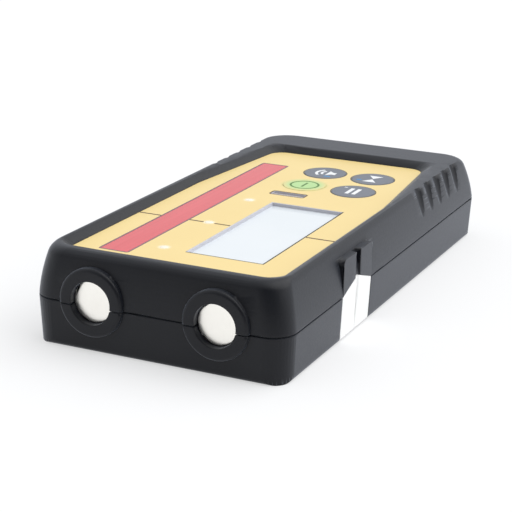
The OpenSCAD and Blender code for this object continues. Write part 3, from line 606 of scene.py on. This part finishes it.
# %% One set of wires
def wire_set(tree, given, run, spread, count, sign):
    half = add_node(tree, "ShaderNodeMath", {"operation": "MULTIPLY"},
                    {0: given["Width" if run == "X" else "Depth"], 1: 0.5}).outputs[0]
    back_half = add_node(tree, "ShaderNodeMath", {"operation": "MULTIPLY"}, {0: half, 1: -1.0}).outputs[0]
    start = add_node(tree, "ShaderNodeCombineXYZ", None, {run: back_half})
    end = add_node(tree, "ShaderNodeCombineXYZ", None, {run: half})
    wire = add_node(tree, "GeometryNodeCurvePrimitiveLine", None,
                    {"Start": start.outputs["Vector"], "End": end.outputs["Vector"]})
    fine = add_node(tree, "GeometryNodeResampleCurve", None, {"Curve": wire.outputs["Curve"], "Count": 64})
    gaps = add_node(tree, "ShaderNodeMath", {"operation": "SUBTRACT"}, {0: given[count], 1: 1.0})
    room = add_node(tree, "ShaderNodeMath", {"operation": "MULTIPLY"},
                    {0: gaps.outputs[0], 1: given["Pitch"]})
    first = add_node(tree, "ShaderNodeMath", {"operation": "MULTIPLY"}, {0: room.outputs[0], 1: -0.5})
    origin = add_node(tree, "ShaderNodeCombineXYZ", None, {spread: first.outputs[0]})
    step = add_node(tree, "ShaderNodeCombineXYZ", None, {spread: given["Pitch"]})
    rows = add_node(tree, "GeometryNodeMeshLine", None,
                    {"Count": given[count], "Start Location": origin.outputs["Vector"],
                     "Offset": step.outputs["Vector"]})
    laid = add_node(tree, "GeometryNodeInstanceOnPoints", None,
                    {"Points": rows.outputs["Mesh"], "Instance": fine.outputs["Curve"]})
    real = add_node(tree, "GeometryNodeRealizeInstances", None, {"Geometry": laid.outputs["Instances"]})
    spot = add_node(tree, "GeometryNodeInputPosition")
    parts = add_node(tree, "ShaderNodeSeparateXYZ", None, {"Vector": spot.outputs["Position"]})
    waves = []
    for axis in ("X", "Y"):
        turns = add_node(tree, "ShaderNodeMath", {"operation": "DIVIDE"},
                         {0: parts.outputs[axis], 1: given["Pitch"]})
        angle = add_node(tree, "ShaderNodeMath", {"operation": "MULTIPLY"}, {0: turns.outputs[0], 1: math.pi})
        wave = add_node(tree, "ShaderNodeMath", {"operation": "COSINE"}, {0: angle.outputs[0]})
        waves.append(wave.outputs[0])
    both = add_node(tree, "ShaderNodeMath", {"operation": "MULTIPLY"}, {0: waves[0], 1: waves[1]})
    lifted = add_node(tree, "ShaderNodeMath", {"operation": "MULTIPLY"},
                      {0: both.outputs[0], 1: given["Lift"]})
    signed = add_node(tree, "ShaderNodeMath", {"operation": "MULTIPLY"}, {0: lifted.outputs[0], 1: sign})
    offset = add_node(tree, "ShaderNodeCombineXYZ", None, {"Z": signed.outputs[0]})
    woven = add_node(tree, "GeometryNodeSetPosition", None,
                     {"Geometry": real.outputs["Geometry"], "Offset": offset.outputs["Vector"]})
    ring = add_node(tree, "GeometryNodeCurvePrimitiveCircle", None,
                    {"Resolution": 6, "Radius": given["Wire"]})
    return add_node(tree, "GeometryNodeCurveToMesh", None,
                    {"Curve": woven.outputs["Geometry"], "Profile Curve": ring.outputs["Curve"],
                     "Fill Caps": True}).outputs["Mesh"]


# %% The woven grille
weave_tree, weave_keys = new_tree("woven_grille", [
    ("Middle", "Vector", None), ("Width", "Float", 13 * MM), ("Depth", "Float", 5.6 * MM),
    ("Pitch", "Float", 0.42 * MM), ("Wire", "Float", 0.1 * MM), ("Lift", "Float", 0.05 * MM),
    ("Across", "Int", 13), ("Along", "Int", 30), ("Finish", "Material", None)])
given = add_node(weave_tree, "NodeGroupInput").outputs
both_sets = add_node(weave_tree, "GeometryNodeJoinGeometry")
for run, spread, count, sign in (("X", "Y", "Across", 1.0), ("Y", "X", "Along", -1.0)):
    weave_tree.links.new(wire_set(weave_tree, given, run, spread, count, sign), both_sets.inputs["Geometry"])
moved = add_node(weave_tree, "GeometryNodeTransform", None,
                 {"Geometry": both_sets.outputs["Geometry"], "Translation": given["Middle"]})
real = add_node(weave_tree, "GeometryNodeRealizeInstances", None, {"Geometry": moved.outputs["Geometry"]})
dressed = add_node(weave_tree, "GeometryNodeSetMaterial", None,
                   {"Geometry": real.outputs["Geometry"], "Material": given["Finish"]})
add_node(weave_tree, "NodeGroupOutput", None, {"Geometry": dressed.outputs["Geometry"]})
# Drawn stainless wire, dulled by dust: a light grey that is only partly a mirror.
steel_wire = surface("stainless_wire_drawn", "#d6d2d6", "#e4e0e4", 2, 0.2, 0.003, 0.4, 0.08, metallic=0.4)
low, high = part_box("sounder_mesh")
grille = grown_piece("woven_grille", weave_tree, weave_keys,
                     {"Middle": (low + high) / 2, "Width": high.x - low.x, "Depth": high.y - low.y,
                      "Pitch": 0.42 * MM, "Wire": 0.1 * MM, "Lift": 0.05 * MM, "Across": 13, "Along": 30,
                      "Finish": steel_wire}, "case")
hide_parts("sounder_mesh")

# %% [markdown]
# ## Magnets, index marks and screws
# The magnets are nickel-plated discs with a broken edge, sunk in the bosses. The index marks are white
# inserts with a groove on the zero line. The case screws sit deep in their sinks. All are softened copies
# of their nodes: metal and white plastic need a fine edge that catches light far more than they need new
# shapes.

# %% Nickel, white plastic and steel
# Satin nickel plate: a warm white metal that mirrors the room softly.
nickel = surface("nickel_plate_satin", "#f8f5ee", "#fefcf6", 8, 0.6, 0.004, 0.3, 0.05, metallic=1.0)
# Moulded white ABS: bright, with a faint grain.
white_abs = surface("white_abs_moulded", "#f3f3f2", "#fafaf9", 10, 0.5, 0.008, 0.38, 0.04)
# Zinc plate on steel: a mid grey metal with an uneven gloss.
zinc_steel = surface("zinc_plated_steel", "#8f9296", "#a3a6aa", 3, 0.3, 0.004, 0.35, 0.08, metallic=1.0)
for side in ("left", "right"):
    softened("magnet_" + side, "magnet_disc_" + side, nickel, 0.35, "case")
    softened("index_mark_" + side, "index_insert_" + side, white_abs, 0.35, "case")
softened("case_screws", "case_screw_set", zinc_steel, 0.12, "case")

# %% [markdown]
# ## The threaded insert in the back
# A rod clamp screws into a brass insert in the back. The solid has a plain bore of the thread's core
# size. A thread is a helix, so the bore's wall is built as a grid of rings whose radius rises and falls
# with height and angle together. The crests stay at the core radius, and the grooves cut outwards into
# the brass.

# %% Brass insert with a helical groove
low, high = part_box("clamp_insert")
insert_x, insert_y = (low.x + high.x) / 2, (low.y + high.y) / 2
insert_r = (high.x - low.x) / 2
CORE_R, GROOVE, PITCH, BORE = 2.55 * MM, 0.45 * MM, 1.27 * MM, 8.0 * MM
# The groove runs out over this height at both ends of the bore.
RUN_OUT = 0.6 * MM
BROKEN_EDGE, LEAD_IN = 0.3 * MM, 0.5 * MM
AROUND, RINGS = 48, 72


def thread_radius(angle, height):
    phase = (height / PITCH - angle / (2 * math.pi)) % 1.0
    fade = min(1.0, height / RUN_OUT, (BORE - height) / RUN_OUT)
    return CORE_R + GROOVE * fade * (1 - abs(2 * phase - 1))


def insert_ring(shape, radius, z):
    return [shape.verts.new((insert_x + radius(a) * math.cos(a), insert_y + radius(a) * math.sin(a), z))
            for a in (2 * math.pi * i / AROUND for i in range(AROUND))]


shape = bmesh.new()
outside = ((insert_r - BROKEN_EDGE, high.z), (insert_r, high.z - BROKEN_EDGE),
           (insert_r, low.z + BROKEN_EDGE), (insert_r - BROKEN_EDGE, low.z), (CORE_R + LEAD_IN, low.z))
rings = [insert_ring(shape, lambda a, r=r: r, z) for r, z in outside]
for i in range(1, RINGS):
    height = BORE * i / RINGS
    rings.append(insert_ring(shape, lambda a, h=height: thread_radius(a, h), low.z + height))
for one, two in zip(rings, rings[1:]):
    for i in range(AROUND):
        k = (i + 1) % AROUND
        shape.faces.new((one[i], one[k], two[k], two[i]))
shape.faces.new(rings[0])
shape.faces.new(rings[-1])
# Turned brass: a yellow metal with a broad shine.
brass = surface("brass_turned", "#b08a45", "#c39b52", 4, 0.4, 0.004, 0.28, 0.06, metallic=1.0)
threaded_insert = made_piece("threaded_insert", shape, brass, "case")
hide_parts("clamp_insert")

# %% [markdown]
# ## What the case hides
# Boards, cells, contacts and the seal are out of sight, but the door slides off and someone may take the
# shells away, so each carries the finish of the real thing.

# %% Finishes of the inner pieces
inner_finishes = {
    # Nitrile rubber: a dull, even black.
    "case_seal": surface("nitrile_rubber_seal", "#0d0d0e", "#151516", 5, 0.4, 0.01, 0.7, 0.05),
    # A reflector behind glass: pale grey with a satin shine.
    "display_module": surface("display_module_reflector", "#b9c2c7", "#c6ced3", 12, 0.5, 0.005, 0.35, 0.05),
    # Dark filter epoxy: near black and glossy.
    "photodiodes": surface("photodiode_dark_epoxy", "#1b1e26", "#262a34", 3, 0.3, 0.004, 0.2, 0.04),
    # White ceramic bodies: a warm, chalky white.
    "signal_leds": surface("led_ceramic_white", "#e9e8de", "#f3f2ea", 2, 0.2, 0.004, 0.4, 0.05),
    # Pressed steel cans: mid grey metal.
    "key_switches": surface("key_switch_pressed_steel", "#94969a", "#a4a6aa", 2, 0.2, 0.003, 0.35, 0.06,
                            metallic=1.0),
    # Moulded phenolic: black with a half gloss.
    "sounder": surface("sounder_black_phenolic", "#141517", "#1d1e21", 4, 0.4, 0.008, 0.5, 0.05),
    # Moulding epoxy: a matt black with a fine tooth.
    "board_chips": surface("chip_epoxy_black", "#141517", "#1c1d20", 3, 0.25, 0.006, 0.6, 0.05),
    # Nylon: black, a little glossier than the chips.
    "board_link": surface("board_header_nylon", "#111213", "#191a1c", 3, 0.3, 0.006, 0.55, 0.05),
    "board_screws": zinc_steel,
    # Nickel-plated sheet: light grey metal.
    "battery_contacts": surface("contact_plate_nickel", "#c4c6c8", "#d4d6d8", 3, 0.3, 0.004, 0.3, 0.06,
                                metallic=1.0),
    # Rolled phosphor bronze: a reddish yellow metal.
    "contact_leaves": surface("phosphor_bronze_leaf", "#b58d4a", "#c69d58", 3, 0.3, 0.004, 0.3, 0.06,
                              metallic=1.0),
    # Polyester label stock: flat silver grey, a little uneven.
    "rear_label": surface("polyester_label_silver", "#c3c6c8", "#d0d3d5", 12, 0.3, 0.004, 0.42, 0.05),
}
# Solder mask on glass epoxy: a dark green with a half gloss.
board_mask = surface("epoxy_board_green_mask", "#175830", "#1f6a3c", 8, 0.4, 0.006, 0.4, 0.06)
# Shrink film round a cell: a dull gold with a satin shine.
cell_wrap = surface("cell_wrap_printed_film", "#a07a30", "#b48d3d", 10, 0.5, 0.004, 0.3, 0.05)
for node in ("main_board", "detector_board"):
    inner_finishes[node] = board_mask
for node in ("battery_cell_left", "battery_cell_right"):
    inner_finishes[node] = cell_wrap
for node, material in inner_finishes.items():
    finish_node(node, material)
print("inner finishes:", len(inner_finishes))

# %% [markdown]
# ## The stage
# The photograph is a product shot on a white sweep: light from all round, and a short pale shadow. A
# large pale floor, a white world that dims towards the camera's side and one wide, soft sun high on the
# right give that. The floor is part lifted to white for camera, glossy and transmission rays, and keeps
# the shadow.

# %% Floor
FLOOR_HALF, FLOOR_GAP, FLOOR_LIFT = 6.0, 0.05 * MM, 0.55
floor_mesh = bpy.data.meshes.new("floor")
floor_mesh.from_pydata([(-FLOOR_HALF, -FLOOR_HALF, 0), (FLOOR_HALF, -FLOOR_HALF, 0),
                        (FLOOR_HALF, FLOOR_HALF, 0), (-FLOOR_HALF, FLOOR_HALF, 0)], [], [(0, 1, 2, 3)])
floor = bpy.data.objects.new("floor", floor_mesh)
bpy.context.scene.collection.objects.link(floor)
floor.location.z = cad_box[0][2] - FLOOR_GAP
white_sweep, tree = new_material("white_paper_sweep")
rays = add_node(tree, "ShaderNodeLightPath")
seen = add_node(tree, "ShaderNodeMath", {"operation": "MAXIMUM"},
                {0: rays.outputs["Is Camera Ray"], 1: rays.outputs["Is Glossy Ray"]})
shown = add_node(tree, "ShaderNodeMath", {"operation": "MAXIMUM"},
                 {0: seen.outputs[0], 1: rays.outputs["Is Transmission Ray"]})
lift = add_node(tree, "ShaderNodeMath", {"operation": "MULTIPLY"}, {0: shown.outputs[0], 1: FLOOR_LIFT})
paper = add_node(tree, "ShaderNodeBsdfDiffuse", None, {"Color": linear("#f4f5f7")})
glow = add_node(tree, "ShaderNodeEmission", None, {"Color": linear("#ffffff"), "Strength": 1.0})
mixed = add_node(tree, "ShaderNodeMixShader", None,
                 {0: lift.outputs[0], 1: paper.outputs[0], 2: glow.outputs[0]})
add_node(tree, "ShaderNodeOutputMaterial", None, {"Surface": mixed.outputs[0]})
floor_mesh.materials.append(white_sweep)
print("floor at z =", round(floor.location.z * 1000, 2), "mm")

# %% Light
SKY_LEVEL, CAMERA_SIDE_LEVEL = 0.82, 0.05
CAMERA_SIDE = (0.5, -0.86, 0.1)
SUN_LEVEL, SUN_WIDTH_DEG = 1.9, 75
sun_from = Vector((0.55, 0.3, 0.75)).normalized()
world = bpy.data.worlds.new("white_studio")
bpy.context.scene.world = world
world.use_nodes = True
tree = world.node_tree
tree.nodes.clear()
direction = add_node(tree, "ShaderNodeTexCoord").outputs["Generated"]
towards_front = add_node(tree, "ShaderNodeVectorMath", {"operation": "DOT_PRODUCT"},
                         {0: direction, 1: CAMERA_SIDE})
level = add_node(tree, "ShaderNodeMapRange", None,
                 {"Value": towards_front.outputs["Value"], "From Min": 0.35, "From Max": 1.0,
                  "To Min": SKY_LEVEL, "To Max": CAMERA_SIDE_LEVEL})
studio = add_node(tree, "ShaderNodeBackground", None,
                  {"Color": linear("#fdfeff"), "Strength": level.outputs["Result"]})
add_node(tree, "ShaderNodeOutputWorld", None, {"Surface": studio.outputs[0]})
sun_data = bpy.data.lights.new("soft_sun", "SUN")
sun_data.energy = SUN_LEVEL
sun_data.angle = math.radians(SUN_WIDTH_DEG)
sun = bpy.data.objects.new("soft_sun", sun_data)
bpy.context.scene.collection.objects.link(sun)
sun.rotation_mode = "QUATERNION"
sun.rotation_quaternion = sun_from.to_track_quat("Z", "Y")
print("sun from", [round(v, 2) for v in sun_from])

# %% [markdown]
# ## The camera
# The view was solved from the straight edges of the case: a long lens, a little above the face and to the
# right. The matrix is written from the angles: the way back to the camera, then right and up, then a
# small roll.

# %% Camera
AZIMUTH, ELEVATION, ROLL = math.radians(24.893), math.radians(17.763), math.radians(1.03)
LOOK_AT_MM = Vector((0, 0.6, 12))
DISTANCE_MM, ASIDE_MM, RAISED_MM = 468.2, -7.202, -4.308
SENSOR_MM, LENS_MM = 36, 107.79
back = Vector((math.sin(AZIMUTH) * math.cos(ELEVATION), -math.cos(AZIMUTH) * math.cos(ELEVATION),
               math.sin(ELEVATION)))
level_right = (-back).cross(Vector((0, 0, 1))).normalized()
level_up = level_right.cross(-back)
right = level_right * math.cos(ROLL) + level_up * math.sin(ROLL)
up = level_up * math.cos(ROLL) - level_right * math.sin(ROLL)
eye = (LOOK_AT_MM + back * DISTANCE_MM + right * ASIDE_MM + up * RAISED_MM) * MM
camera_data = bpy.data.cameras.new("camera")
camera_data.sensor_width = SENSOR_MM
camera_data.lens = LENS_MM
camera_data.clip_start = 0.01
camera_data.clip_end = 50
camera = bpy.data.objects.new("camera", camera_data)
bpy.context.scene.collection.objects.link(camera)
turn = Matrix((right, up, back)).transposed()
camera.matrix_world = Matrix.Translation(eye) @ turn.to_4x4()
bpy.context.scene.camera = camera
bpy.context.scene.view_settings.view_transform = "Standard"
print("camera at", [round(v * 1000, 1) for v in eye], "mm")
